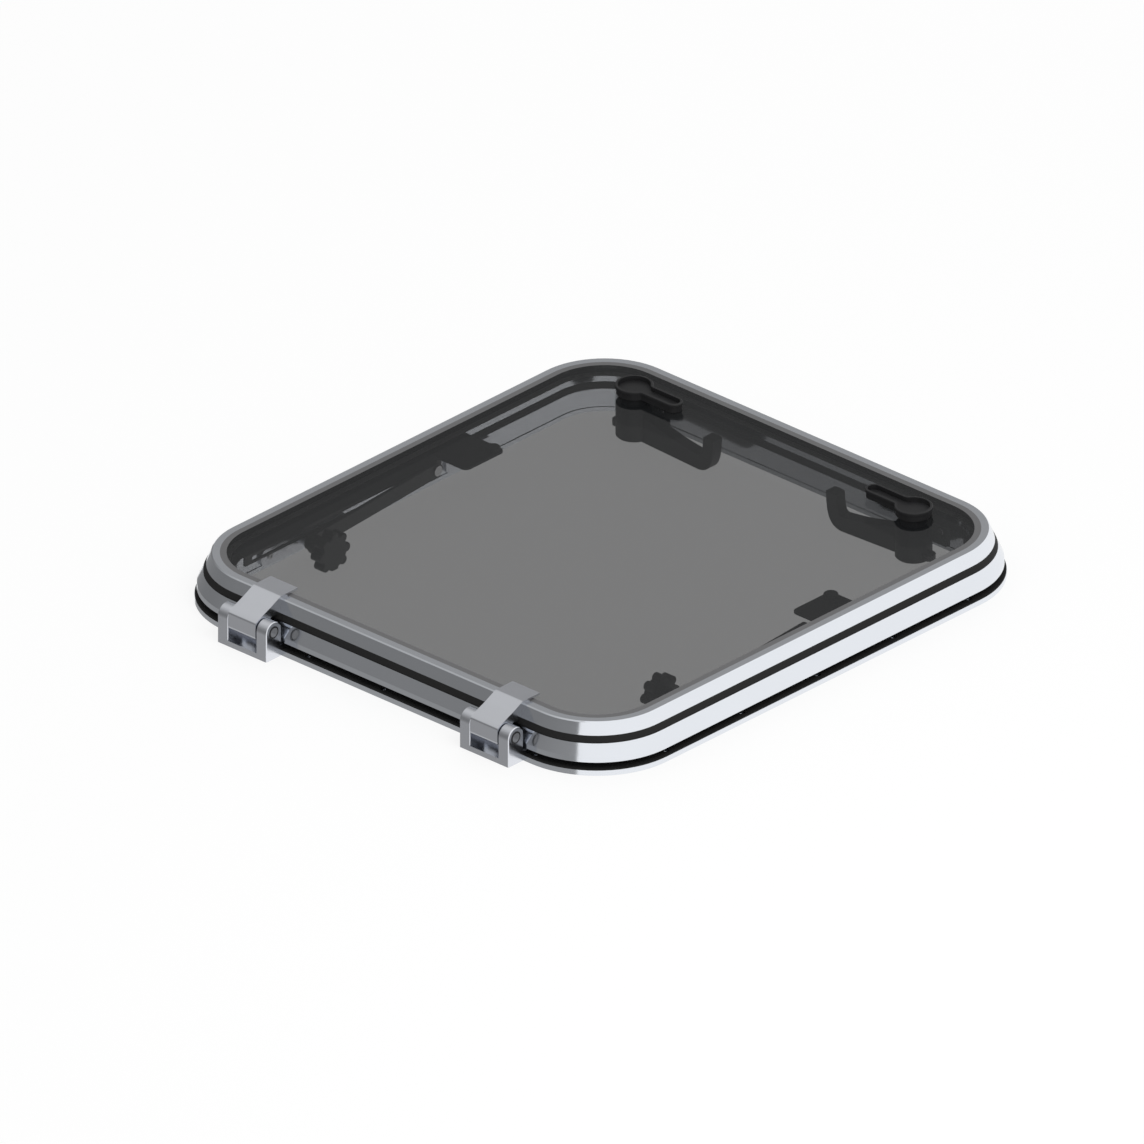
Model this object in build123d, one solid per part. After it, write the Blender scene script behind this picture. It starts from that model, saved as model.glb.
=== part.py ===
from build123d import *
import math
import os

# Deck hatch: a glazed lid on two rear hinges over a flanged lower frame.
# Millimetres. X runs along the hinged edge, +Y points to the handles, +Z is up.
# The origin is the centre of the flange's underside, on the deck.

# Rounded rectangle that every ring section follows: the inner edge of the lid's rim.
path_half_x = 252.0
path_half_y = 271.0
path_corner = 63.5

# Clearances.
seat_gap = 0.3
fit_gap = 0.05
running_gap = 0.1
side_gap = 0.6

# Heights.
lid_height = 18.3
flange_thickness = 5.1
frame_height = 28.7
frame_fall = 2.0
seal_height = 6.1
glass_thickness = 8.6
tape_thickness = 0.5
ledge_thickness = 5.4

# Lid section, as offsets from the path.
rim_width = 7.0
rim_chamfer = 1.1
skirt_flare = 4.3
ledge_width = 9.6
glass_setback = 2.5
sealant_width = 6.0
sealant_depth = 2.7
seal_width = 5.0
seal_inset = 0.2

# Lower frame section.
wall_offset = 9.0
wall_thickness = 3.0
throat_offset = 13.0
skin_foot = 4.0
flange_width = 14.0
groove_height = 8.9
groove_size = 1.6
groove_depth = 0.8

# Cover that clips over the deck screws.
cover_top_width = 6.0
cover_flare = 5.4
cover_slope_drop = 11.7
cover_lip_drop = 4.8
cover_lip_flare = 0.3
cover_skin = 2.0
cover_hook_drop = 12.7

# Deck screw holes in the flange.
deck_hole_offset = 15.5
deck_hole_radius = 2.6
deck_sink_radius = 4.6
deck_hole_end_gap_x = 66.0
deck_hole_end_gap_y = 71.0
deck_holes_per_side = 5

# Hinges.
hinge_side_inset = 103.0
hinge_width = 60.0
ear_width = 12.7
knuckle_radius = 10.0
pin_radius = 4.5
bush_radius = 6.0
pin_height = 27.0
hinge_floor = 5.5
tongue_thickness = 6.0
tongue_reach = 13.0
tongue_screw_share = 0.62
hinge_edge_round = 1.2
bush_proud = 0.2
pin_proud = 0.4
leaf_rise = 3.2
leaf_reach = 13.0
leaf_tip_thickness = 2.0
leaf_front_drop = 10.0
leaf_shoulder = 7.5
leaf_corner = 4.0
leaf_front_corner = 2.4
leaf_front_slope = 3.7
leaf_web_rise = 6.5
leaf_top_start = 2.5

# Handles.
handle_corner_gap = 16.5
handle_inset = 42.0
grip_radius = 17.5
grip_slot_radius = 8.5
grip_length = 48.5
grip_height = 8.4
grip_lip_height = 2.6
grip_lip_width = 2.5
grip_undercut = 1.0
grip_recess = 4.5
grip_blend = 4.0
grip_edge_round = 0.9
gasket_thickness = 0.6
gasket_radius = 16.0
bush_hole_radius = 12.0
spindle_radius = 8.0
spindle_grip_depth = 3.2
spindle_hub_depth = 17.0
hub_radius = 17.0
hub_bottom = 4.5
hub_top_gap = 0.9
lever_length = 103.0
lever_width = 12.0
lever_tip_rise = 34.0
lever_waist_height = 23.0
lever_tip_bottom = 2.0
lever_middle_share = 0.46
lever_waist_share = 0.9
lever_tip_share = 0.96
lever_waist_round = 5.0
lever_middle_round = 30.0
lever_toe_round = 6.0
lever_tip_round = 1.6
cap_radius = 5.4
cap_drop = 2.0
cap_depth = 5.0
cap_edge_round = 1.2
cam_gap = 1.5
cam_width = 12.0
cam_thickness = 5.5
cam_root = 9.5
keeper_height = 14.0
keeper_ledge = 3.0
keeper_ledge_fall = 0.8
keeper_skin = 2.5
keeper_length = 30.0
keeper_screw_share = 0.3
keeper_drop = 6.0
keeper_depth = 10.0

# Stays.
stay_arm_length = 165.0
stay_pivot_drop = 10.5
arm_inset = 12.5
arm_thickness = 4.0
arm_width = 14.0
slide_pin_radius = 2.4
slide_head_radius = 3.2
slide_head_thickness = 2.4
slide_rivet_radius = 5.0
slide_rivet_height = 1.5
track_inset = 7.8
track_thickness = 2.4
track_rail = 2.0
track_flange_thickness = 2.0
track_seat_width = 5.6
track_end = 9.0
lid_range = 70.0
stud_radius = 3.0
boss_radius = 4.6
bracket_skin = 3.0
bracket_half_length = 56.0
bracket_half_height = 9.0
bracket_screw_half_pitch = 44.0
knob_radius = 20.3
knob_lobes = 8
knob_thickness = 11.8
knob_inset = 42.4
knob_lobe_radius = 4.6
knob_hub_radius = 9.0
knob_skin = 3.0
knob_edge_round = 1.2
washer_radius = 8.0
washer_thickness = 1.6
stop_inset = 39.0
stop_length = 52.0
stop_thickness = 2.0
stop_corner = 6.0
button_radius = 6.75
button_height = 4.0
button_inset = 8.0
button_edge_round = 1.2
side_plate_y = 80.0
side_plate_length = 60.0
side_plate_height = 16.0
side_plate_z = 18.0
side_plate_skin = 2.5
side_plate_corner = 4.0

# Fasteners.
screw_radius = 1.5
screw_head_radius = 3.2
screw_head_height = 1.3
leaf_screw_radius = 2.0
leaf_screw_half_pitch = 9.0
tongue_screw_half_pitch = 18.0
drive_radius = 1.2
head_round_share = 0.45
small_head_share = 0.8
tongue_screw_length = 9.0
wall_screw_length = 7.0
track_screw_length = 5.5
plate_screw_length = 6.0
track_screw_shares = (0.06, 0.35, 0.65, 0.94)
stop_screw_shares = (0.25, 0.75)

# Heights and offsets that follow from the sizes above.
overall_height = frame_height + lid_height
skirt_z = frame_height + seat_gap + seal_height
glass_z = overall_height - glass_thickness
ledge_z = glass_z - tape_thickness
lid_bottom_z = ledge_z - ledge_thickness
skirt_offset = rim_width + rim_chamfer + skirt_flare
rebate_offset = glass_setback - seat_gap
sealant_z = overall_height - sealant_depth
flange_offset = wall_offset + flange_width
throat_x = path_half_x - throat_offset
throat_y = path_half_y - throat_offset
throat_top_z = frame_height - frame_fall
hinge_x = path_half_x - hinge_side_inset
handle_x = path_half_x - path_corner - handle_corner_gap
handle_y = path_half_y - handle_inset
arm_plane = throat_x - arm_inset
track_plane = throat_x - track_inset
knob_face = throat_x - knob_inset
stop_inboard = throat_x - stop_inset
deck_hole_pitch_x = 2 * (path_half_x - deck_hole_end_gap_x) / (deck_holes_per_side - 1)
deck_hole_pitch_y = 2 * (path_half_y - deck_hole_end_gap_y) / (deck_holes_per_side - 1)
small_head_radius = small_head_share * screw_head_radius
pin_y = -(path_half_y + flange_offset + knuckle_radius)
cover_foot_z = frame_height - cover_slope_drop - cover_lip_drop


def ring(section):
    """Carry a closed section of (offset, height) points round the rounded path."""
    points = [(path_corner + offset, height) for offset, height in section]
    face = make_face(Plane.XZ * Polyline(*points, close=True))
    run_x = path_half_x - path_corner
    run_y = path_half_y - path_corner
    bend = revolve(face, Axis.Z, 90)
    long_side = extrude(face, amount=run_y, both=True)
    short_side = extrude(face, amount=run_x, both=True)
    pieces = []
    for sign_x, sign_y, turn in ((1, 1, 0), (-1, 1, 90), (-1, -1, 180), (1, -1, 270)):
        pieces.append(Pos(sign_x * run_x, sign_y * run_y, 0) * Rot(0, 0, turn) * bend)
    for sign in (1, -1):
        pieces.append(Pos(sign * run_x, 0, 0) * Rot(0, 0, 90 - 90 * sign) * long_side)
        pieces.append(Pos(0, sign * run_y, 0) * Rot(0, 0, 90 * sign) * short_side)
    return pieces[0].fuse(*pieces[1:]).clean()


def plate(offset, low, high):
    """Rounded rectangular plate whose edge stands at the offset from the path."""
    outline = RectangleRounded(
        2 * (path_half_x + offset),
        2 * (path_half_y + offset),
        path_corner + offset,
    )
    return Pos(0, 0, low) * extrude(outline, amount=high - low)


def side_profile(points, low, high):
    """Extrude a closed (y, z) outline along X between two planes."""
    face = make_face(Polyline(*points, close=True))
    return Plane.YZ.offset(low) * extrude(face, amount=high - low)


def rod(radius, start, end):
    """Round bar between two points."""
    axis = Vector(*end) - Vector(*start)
    plane = Plane(origin=start, z_dir=axis)
    return plane * extrude(Circle(radius), amount=axis.length)


def screw(seat, inward, radius, length, head_radius, head_height):
    """Pan head screw with a round driver recess, seated at a point."""
    seat = Vector(*seat)
    inward = Vector(*inward).normalized()
    top = seat - inward * head_height
    shape = rod(head_radius, tuple(seat), tuple(top))
    edge = shape.edges().filter_by(GeomType.CIRCLE).sort_by_distance(tuple(top))[0]
    shape = fillet(edge, head_round_share * head_height)
    shape += rod(radius, tuple(seat - inward * 0.3 * head_height), tuple(seat + inward * length))
    shape -= rod(drive_radius, tuple(top - inward), tuple(top + inward * 0.5 * head_height))
    return shape


def save(name, *shapes):
    """Write one node, as one solid or as several separate ones."""
    solids = []
    for shape in shapes:
        solids.extend(shape.solids())
    node = solids[0] if len(solids) == 1 else Compound(children=solids)
    node.label = name
    export_step(node, f"parts/{name}.step")


def save_pair(name, *shapes):
    """Write the right-hand node and its mirror image."""
    save(f"{name}_right", *shapes)
    save(f"{name}_left", *[mirror(shape, about=Plane.YZ) for shape in shapes])


def save_both(name, *shapes):
    """Write the right-hand pieces and their mirror images as one node."""
    save(name, *shapes, *[mirror(shape, about=Plane.YZ) for shape in shapes])


def deck_hole_places():
    """Centres of the flange's screw holes, in the flange's plane."""
    places = []
    middle = (deck_holes_per_side - 1) / 2
    for index in range(deck_holes_per_side):
        for sign in (1, -1):
            across = sign * (path_half_x + deck_hole_offset)
            places.append((across, (index - middle) * deck_hole_pitch_y))
            along = sign * (path_half_y + deck_hole_offset)
            places.append(((index - middle) * deck_hole_pitch_x, along))
    return places


# Lower frame: a hollow section open below, with a flange that the deck screws hold.
groove_top = groove_height + 0.5 * groove_size
groove_low = groove_height - 0.5 * groove_size
groove_back = groove_depth - throat_offset
inner_fall = frame_fall * wall_thickness / (throat_offset + wall_offset)
lower_frame = ring(
    [
        (-throat_offset, throat_top_z),
        (wall_offset, frame_height),
        (wall_offset, flange_thickness),
        (flange_offset, flange_thickness),
        (flange_offset, 0),
        (wall_offset - wall_thickness, 0),
        (wall_offset - wall_thickness, frame_height - wall_thickness - inner_fall),
        (wall_thickness - throat_offset, throat_top_z - wall_thickness + inner_fall),
        (wall_thickness - throat_offset, skin_foot),
        (-throat_offset, skin_foot),
        (-throat_offset, groove_low),
        (groove_back, groove_low),
        (groove_back, groove_top),
        (-throat_offset, groove_top),
    ]
)
deck_sink_depth = deck_sink_radius - deck_hole_radius
for hole_x, hole_y in deck_hole_places():
    hole = Pos(hole_x, hole_y, 0.5 * flange_thickness) * Cylinder(deck_hole_radius, 2 * flange_thickness)
    sink = Cone(deck_hole_radius, deck_sink_radius, deck_sink_depth)
    lower_frame -= hole
    lower_frame -= Pos(hole_x, hole_y, flange_thickness - 0.5 * deck_sink_depth) * sink

# Clip-on cover round the outside of the lower frame.
cover_in = wall_offset + seat_gap
cover_top_out = cover_in + cover_top_width
cover_slope_out = cover_top_out + cover_flare
cover_out = cover_slope_out + cover_lip_flare
cover_slope_z = frame_height - cover_slope_drop
slope_angle = math.atan2(cover_slope_drop, cover_flare)
cover_turn = cover_skin * math.tan(0.5 * slope_angle)
frame_cover = ring(
    [
        (cover_in, frame_height),
        (cover_top_out, frame_height),
        (cover_slope_out, cover_slope_z),
        (cover_out, cover_foot_z),
        (cover_out - cover_skin, cover_foot_z),
        (cover_slope_out - cover_skin, cover_slope_z),
        (cover_top_out - cover_turn, frame_height - cover_skin),
        (cover_in + cover_skin, frame_height - cover_skin),
        (cover_in + cover_skin, frame_height - cover_hook_drop),
        (cover_in, frame_height - cover_hook_drop),
    ]
)

# Lid frame: rim, rebate for the pane and a skirt over the seal.
seal_in = rim_width + seal_inset
lid_frame = ring(
    [
        (0, overall_height),
        (rim_width, overall_height),
        (rim_width + rim_chamfer, overall_height - rim_chamfer),
        (skirt_offset, skirt_z),
        (rim_width, skirt_z),
        (rim_width, lid_bottom_z),
        (-ledge_width, lid_bottom_z),
        (-ledge_width, ledge_z),
        (-rebate_offset, ledge_z),
        (-rebate_offset, sealant_z),
        (0, sealant_z),
    ]
)

# Pane, its sealant bead, its bedding tape and the lid's seal.
glazing = plate(-glass_setback, glass_z, sealant_z)
glazing += plate(-sealant_width, sealant_z, overall_height)
glazing_sealant = plate(0, sealant_z, overall_height) - plate(-sealant_width, sealant_z, overall_height)
glazing_tape = plate(-glass_setback, ledge_z, glass_z) - plate(-ledge_width, ledge_z, glass_z)
lid_seal = ring(
    [
        (seal_in, skirt_z),
        (seal_in + seal_width, skirt_z),
        (seal_in + seal_width, skirt_z - seal_height),
        (seal_in, skirt_z - seal_height),
    ]
)

# Hinge base: two ears on a floor, with a tongue that runs under the cover.
ear_gap = hinge_width - 2 * ear_width
hinge_low = hinge_x - 0.5 * hinge_width
hinge_high = hinge_x + 0.5 * hinge_width
front_y = pin_y - knuckle_radius
back_y = pin_y + knuckle_radius
hinge_base = side_profile(
    [(front_y, 0), (back_y, 0), (back_y, pin_height), (front_y, pin_height)],
    hinge_low,
    hinge_high,
)
hinge_base += rod(knuckle_radius, (hinge_low, pin_y, pin_height), (hinge_high, pin_y, pin_height))
window_z = pin_height + 2 * knuckle_radius
window = Box(ear_gap, 4 * knuckle_radius, window_z - hinge_floor)
hinge_base -= Pos(hinge_x, pin_y, 0.5 * (window_z + hinge_floor)) * window
tongue = Box(hinge_width, tongue_reach, tongue_thickness)
tongue_z = flange_thickness + 0.5 * tongue_thickness
hinge_base += Pos(hinge_x, back_y + 0.5 * tongue_reach, tongue_z) * tongue
outer_edges = hinge_base.edges().filter_by(Axis.Z).group_by(Axis.Y)[0]
hinge_base = fillet(outer_edges, hinge_edge_round)
tongue_top = flange_thickness + tongue_thickness
tongue_screw_y = back_y + tongue_screw_share * tongue_reach
tongue_screws = []
for side in (1, -1):
    place = (hinge_x + side * tongue_screw_half_pitch, tongue_screw_y, tongue_top)
    tongue_screws.append(
        screw(place, (0, 0, -1), screw_radius, tongue_screw_length, screw_head_radius, screw_head_height)
    )
    drill = rod(screw_radius + fit_gap, (place[0], place[1], 0), (place[0], place[1], tongue_top))
    hinge_base -= drill
    lower_frame -= drill

bush_start = hinge_x + 0.5 * ear_gap
bushes = []
for low, high in ((bush_start, hinge_high + bush_proud), (hinge_low - bush_proud, hinge_x - 0.5 * ear_gap)):
    bore = rod(bush_radius, (low - 1, pin_y, pin_height), (high + 1, pin_y, pin_height))
    hinge_base -= bore
    bush = rod(bush_radius, (low, pin_y, pin_height), (high, pin_y, pin_height))
    bush -= rod(pin_radius + fit_gap, (low - 1, pin_y, pin_height), (high + 1, pin_y, pin_height))
    bushes.append(bush)
pin_start = (hinge_low - pin_proud, pin_y, pin_height)
hinge_pin = rod(pin_radius, pin_start, (hinge_high + pin_proud, pin_y, pin_height))

# Hinge leaf: a knuckle between the ears and an arm that laps over the lid's rim.
leaf_low = hinge_x - 0.5 * ear_gap + side_gap
leaf_high = hinge_x + 0.5 * ear_gap - side_gap
rim_y = -path_half_y
leaf_top = overall_height + leaf_rise
leaf_web_z = pin_height + leaf_web_rise
leaf_top_y = rim_y - rim_width - leaf_top_start
leaf_section = make_face(
    Polyline(
        (front_y, pin_height - leaf_front_drop),
        (front_y, pin_height + leaf_shoulder),
        (front_y + leaf_front_slope, pin_height + knuckle_radius),
        (back_y, 0.5 * (pin_height + knuckle_radius + leaf_top)),
        (leaf_top_y, leaf_top),
        (rim_y + leaf_reach, leaf_top),
        (rim_y + leaf_reach, leaf_top - leaf_tip_thickness),
        (rim_y, leaf_top - leaf_tip_thickness),
        (rim_y, overall_height),
        (rim_y - rim_width, overall_height),
        (rim_y - rim_width - rim_chamfer, overall_height - rim_chamfer),
        (rim_y - skirt_offset, skirt_z),
        (rim_y - skirt_offset, leaf_web_z),
        (back_y, leaf_web_z),
        (back_y, pin_height),
        (pin_y, pin_height - knuckle_radius),
        close=True,
    )
)
for corner, radius in (
    ((front_y, pin_height - leaf_front_drop), leaf_corner),
    ((front_y, pin_height + leaf_shoulder), leaf_front_corner),
    ((leaf_top_y, leaf_top), leaf_corner),
):
    leaf_section = fillet(leaf_section.vertices().sort_by_distance(corner)[0], radius)
leaf_section += Pos(pin_y, pin_height) * Circle(knuckle_radius)
hinge_leaf = Plane.YZ.offset(leaf_low) * extrude(leaf_section, amount=leaf_high - leaf_low)
hinge_leaf -= rod(
    pin_radius + fit_gap,
    (leaf_low - 1, pin_y, pin_height),
    (leaf_high + 1, pin_y, pin_height),
)
leaf_screw_y = rim_y - 0.5 * rim_width
leaf_screws = []
leaf_screw_length = overall_height + 0.6 * leaf_rise - lid_bottom_z
for side in (1, -1):
    place = (hinge_x + side * leaf_screw_half_pitch, leaf_screw_y, lid_bottom_z)
    leaf_screws.append(
        screw(place, (0, 0, 1), leaf_screw_radius, leaf_screw_length, screw_head_radius, screw_head_height)
    )
    drill_top = lid_bottom_z + leaf_screw_length + fit_gap
    drill = rod(leaf_screw_radius + fit_gap, place, (place[0], place[1], drill_top))
    hinge_leaf -= drill
    lid_frame -= drill
    lid_frame -= mirror(drill, about=Plane.YZ)
for side in (1, -1):
    place_x = -(hinge_x + side * tongue_screw_half_pitch)
    drill = rod(screw_radius + fit_gap, (place_x, tongue_screw_y, 0), (place_x, tongue_screw_y, tongue_top))
    lower_frame -= drill

# Handles. The outer grip lies on the pane, the lever and its cam hang below it.
handle_place = Pos(handle_x, handle_y, 0)
gasket_top = overall_height + gasket_thickness
grip_top = gasket_top + grip_height
grip_slot = Pos(-0.5 * grip_length, 0) * Rectangle(grip_length, 2 * grip_slot_radius)
grip_outline = Circle(grip_radius) + grip_slot
neck_x = -math.sqrt(grip_radius**2 - grip_slot_radius**2)
necks = [grip_outline.vertices().sort_by_distance((neck_x, side * grip_slot_radius))[0] for side in (1, -1)]
grip_outline = fillet(necks, grip_blend)
grip_outline += Pos(-grip_length, 0) * Circle(grip_slot_radius)
grip_body = offset(grip_outline, -grip_undercut)
grip_floor = offset(grip_outline, -grip_lip_width)
outer_handle = Pos(0, 0, gasket_top) * extrude(grip_body, amount=grip_height - grip_lip_height)
outer_handle += Pos(0, 0, grip_top - grip_lip_height) * extrude(grip_outline, amount=grip_lip_height)
outer_handle = fillet(outer_handle.faces().sort_by(Axis.Z)[-1].edges(), grip_edge_round)
outer_handle -= Pos(0, 0, grip_top - grip_recess) * extrude(grip_floor, amount=grip_recess + 1)
spindle_top = gasket_top + spindle_grip_depth
hub_top = glass_z - hub_top_gap
spindle_low = hub_top - spindle_hub_depth
spindle_bore = rod(spindle_radius + fit_gap, (0, 0, spindle_low - fit_gap), (0, 0, spindle_top + fit_gap))
outer_handle -= spindle_bore
handle_spindle = rod(spindle_radius, (0, 0, spindle_low), (0, 0, spindle_top))
handle_bush = rod(gasket_radius, (0, 0, overall_height), (0, 0, gasket_top))
handle_bush += rod(bush_hole_radius, (0, 0, glass_z), (0, 0, overall_height))
handle_bush -= rod(spindle_radius + running_gap, (0, 0, 0), (0, 0, spindle_top))
pane_hole = rod(bush_hole_radius, (0, 0, glass_z), (0, 0, overall_height))
for sign in (1, -1):
    glazing -= Pos(sign * handle_x, handle_y, 0) * pane_hole

hub_low = hub_bottom
lever_middle_x = -lever_middle_share * lever_length
lever_middle_z = 0.5 * (hub_top + lever_waist_height)
lever_waist_x = -lever_waist_share * lever_length
lever_tip_x = -lever_tip_share * lever_length
lever_section = make_face(
    Polyline(
        (0, hub_top),
        (lever_middle_x, lever_middle_z),
        (lever_waist_x, lever_waist_height),
        (lever_tip_x, lever_tip_rise),
        (-lever_length, lever_tip_rise),
        (-lever_length, lever_tip_bottom),
        (lever_waist_x, lever_tip_bottom),
        (0, hub_low),
        close=True,
    )
)
for corner, radius in (
    ((lever_waist_x, lever_waist_height), lever_waist_round),
    ((lever_middle_x, lever_middle_z), lever_middle_round),
    ((-lever_length, lever_tip_bottom), lever_toe_round),
    ((-lever_length, lever_tip_rise), lever_tip_round),
    ((lever_tip_x, lever_tip_rise), lever_tip_round),
):
    lever_section = fillet(lever_section.vertices().sort_by_distance(corner)[0], radius)
lever = Plane.XZ.offset(-0.5 * lever_width) * extrude(lever_section, amount=lever_width)
hub = rod(hub_radius, (0, 0, hub_low), (0, 0, hub_top))
inner_handle = hub + lever
inner_handle -= spindle_bore
keeper_face_y = throat_y - keeper_skin
cam_reach = keeper_face_y - cam_gap - 0.5 * cam_width - handle_y
cam_top = keeper_height - seat_gap
cam_low = cam_top - cam_thickness
cam_outline = Pos(0.5 * (cam_reach + cam_root), 0) * Rectangle(cam_reach - cam_root, cam_width)
cam_outline += Pos(cam_reach, 0) * Circle(0.5 * cam_width)
latch_cam = Pos(0, 0, cam_low) * extrude(cam_outline, amount=cam_thickness)
slot_outline = Pos(cam_root + hub_radius, 0) * Rectangle(2 * hub_radius, cam_width + 2 * fit_gap)
cam_slot = Pos(0, 0, cam_low - fit_gap) * extrude(slot_outline, amount=cam_thickness + 2 * fit_gap)
inner_handle -= cam_slot
cap_bore = rod(cap_radius + fit_gap, (0, 0, 0), (0, 0, hub_low + cap_depth - cap_drop + fit_gap))
inner_handle -= cap_bore
handle_cap = rod(cap_radius, (0, 0, hub_low - cap_drop), (0, 0, hub_low + cap_depth - cap_drop))
handle_cap = fillet(handle_cap.edges().sort_by(Axis.Z)[0], cap_edge_round)

# Keepers on the lower frame, which the cams turn under when the lid is dogged.
keeper_low = keeper_height - keeper_drop
keeper = side_profile(
    [
        (throat_y, keeper_low),
        (throat_y, throat_top_z),
        (keeper_face_y, throat_top_z),
        (keeper_face_y, keeper_height + keeper_ledge),
        (throat_y - keeper_depth, keeper_height + keeper_ledge - keeper_ledge_fall),
        (throat_y - keeper_depth, keeper_height),
        (keeper_face_y, keeper_height),
        (keeper_face_y, keeper_low),
    ],
    handle_x - 0.5 * keeper_length,
    handle_x + 0.5 * keeper_length,
)
keeper_screw_z = 0.5 * (keeper_height + keeper_ledge + throat_top_z)
keeper_screws = []
for side in (1, -1):
    place = (handle_x + side * keeper_screw_share * keeper_length, keeper_face_y, keeper_screw_z)
    keeper_screws.append(
        screw(place, (0, 1, 0), screw_radius, wall_screw_length, screw_head_radius, screw_head_height)
    )
    far = (place[0], throat_y + 2 * wall_thickness, place[2])
    drill = rod(screw_radius + fit_gap, place, far)
    keeper -= drill
    lower_frame -= drill
    lower_frame -= mirror(drill, about=Plane.YZ)

# Stays. The arm is as long as the distance from lid pivot to stay pivot, so that it
# turns twice as fast as the lid and its pin runs straight along the track.
stay_pivot_y = pin_y + math.sqrt(stay_arm_length**2 - stay_pivot_drop**2)
stay_pivot_z = pin_height - stay_pivot_drop
slide_closed_y = pin_y + 2 * (stay_pivot_y - pin_y)
rest_angle = math.degrees(math.asin(stay_pivot_drop / stay_arm_length))
slide_open_y = pin_y + 2 * stay_arm_length * math.cos(math.radians(lid_range + rest_angle))
arm_in = arm_plane - 0.5 * arm_thickness
arm_out = arm_plane + 0.5 * arm_thickness
track_in = track_plane - 0.5 * track_thickness
track_out = track_plane + 0.5 * track_thickness

bracket_in = throat_x - bracket_skin
bracket_shape = SlotOverall(2 * bracket_half_length, 2 * bracket_half_height)
stay_bracket = Plane.YZ.offset(bracket_in) * extrude(bracket_shape, amount=bracket_skin)
stay_bracket = Pos(0, stay_pivot_y, stay_pivot_z) * stay_bracket
stay_bracket += rod(
    boss_radius,
    (arm_out + seat_gap, stay_pivot_y, stay_pivot_z),
    (bracket_in, stay_pivot_y, stay_pivot_z),
)
stud_end = knob_face + knob_skin
stay_stud = rod(
    stud_radius,
    (stud_end + seat_gap, stay_pivot_y, stay_pivot_z),
    (throat_x, stay_pivot_y, stay_pivot_z),
)
stay_bracket -= rod(
    stud_radius + fit_gap,
    (arm_in, stay_pivot_y, stay_pivot_z),
    (throat_x + 1, stay_pivot_y, stay_pivot_z),
)
bracket_screws = []
for side in (1, -1):
    place = (bracket_in, stay_pivot_y + side * bracket_screw_half_pitch, stay_pivot_z)
    bracket_screws.append(
        screw(place, (1, 0, 0), screw_radius, wall_screw_length, screw_head_radius, screw_head_height)
    )
    drill = rod(screw_radius + fit_gap, place, (throat_x + 2 * wall_thickness, place[1], place[2]))
    stay_bracket -= drill
    lower_frame -= drill
    lower_frame -= mirror(drill, about=Plane.YZ)

arm_shape = SlotCenterToCenter(stay_arm_length, arm_width)
stay_arm = Plane.YZ.offset(arm_in) * extrude(arm_shape, amount=arm_thickness)
stay_arm = Pos(0, 0.5 * stay_arm_length, 0) * stay_arm
stay_arm = Pos(0, stay_pivot_y, stay_pivot_z) * Rot(rest_angle, 0, 0) * stay_arm
stay_arm -= rod(
    stud_radius + fit_gap,
    (arm_in - 1, stay_pivot_y, stay_pivot_z),
    (arm_out + 1, stay_pivot_y, stay_pivot_z),
)
slide_low = (arm_in, slide_closed_y, pin_height)
slide_head_in = track_out + seat_gap
slide_pin = rod(slide_pin_radius, slide_low, (slide_head_in, slide_closed_y, pin_height))
slide_pin += rod(
    slide_head_radius,
    (slide_head_in, slide_closed_y, pin_height),
    (slide_head_in + slide_head_thickness, slide_closed_y, pin_height),
)
slide_pin += rod(
    slide_rivet_radius,
    (arm_in - slide_rivet_height, slide_closed_y, pin_height),
    slide_low,
)
stay_arm -= rod(
    slide_pin_radius + fit_gap,
    (arm_in - 1, slide_closed_y, pin_height),
    (arm_out + 1, slide_closed_y, pin_height),
)
arm_washer = rod(
    washer_radius,
    (arm_in - washer_thickness, stay_pivot_y, stay_pivot_z),
    (arm_in, stay_pivot_y, stay_pivot_z),
)
arm_washer -= rod(
    stud_radius + running_gap,
    (arm_in - 2 * washer_thickness, stay_pivot_y, stay_pivot_z),
    (arm_out, stay_pivot_y, stay_pivot_z),
)

# Star knob that clamps the arm.
knob_out = knob_face + knob_thickness
knob_hub_end = arm_in - washer_thickness - seat_gap
lobe_place = knob_radius - knob_lobe_radius
star = Circle(lobe_place)
for index in range(knob_lobes):
    star += Rot(0, 0, index * 360 / knob_lobes) * Pos(lobe_place, 0) * Circle(knob_lobe_radius)
stay_knob = Plane.YZ.offset(knob_face) * extrude(star, amount=knob_thickness)
stay_knob += Plane.YZ.offset(knob_out) * extrude(Circle(knob_hub_radius), amount=knob_hub_end - knob_out)
face_edges = stay_knob.faces().sort_by(Axis.X)[0].edges()
stay_knob = fillet(face_edges, knob_edge_round)
stay_knob = Pos(0, stay_pivot_y, stay_pivot_z) * stay_knob
stay_knob -= rod(
    stud_radius + running_gap,
    (stud_end, stay_pivot_y, stay_pivot_z),
    (knob_hub_end + 1, stay_pivot_y, stay_pivot_z),
)

# Track under the lid's ledge: a slotted web hung from a flange.
slot_half = slide_pin_radius + running_gap
track_low = pin_height - slot_half - track_rail
track_start_y = slide_open_y - slide_pin_radius - track_end
track_end_y = slide_closed_y + slide_pin_radius + track_end
track_flange_out = path_half_x - ledge_width + track_seat_width
flange_low = lid_bottom_z - track_flange_thickness
stay_track = Box(
    track_thickness,
    track_end_y - track_start_y,
    lid_bottom_z - track_low,
    align=(Align.MIN, Align.MIN, Align.MIN),
)
stay_track = Pos(track_in, track_start_y, track_low) * stay_track
track_flange = Box(
    track_flange_out - track_in,
    track_end_y - track_start_y,
    track_flange_thickness,
    align=(Align.MIN, Align.MIN, Align.MIN),
)
stay_track += Pos(track_in, track_start_y, flange_low) * track_flange
slot_length = slide_closed_y - slide_open_y + 2 * slot_half + 2 * running_gap
slot_shape = SlotOverall(slot_length, 2 * slot_half)
slot_cut = Plane.YZ.offset(track_in - 1) * extrude(slot_shape, amount=track_thickness + 2)
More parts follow.
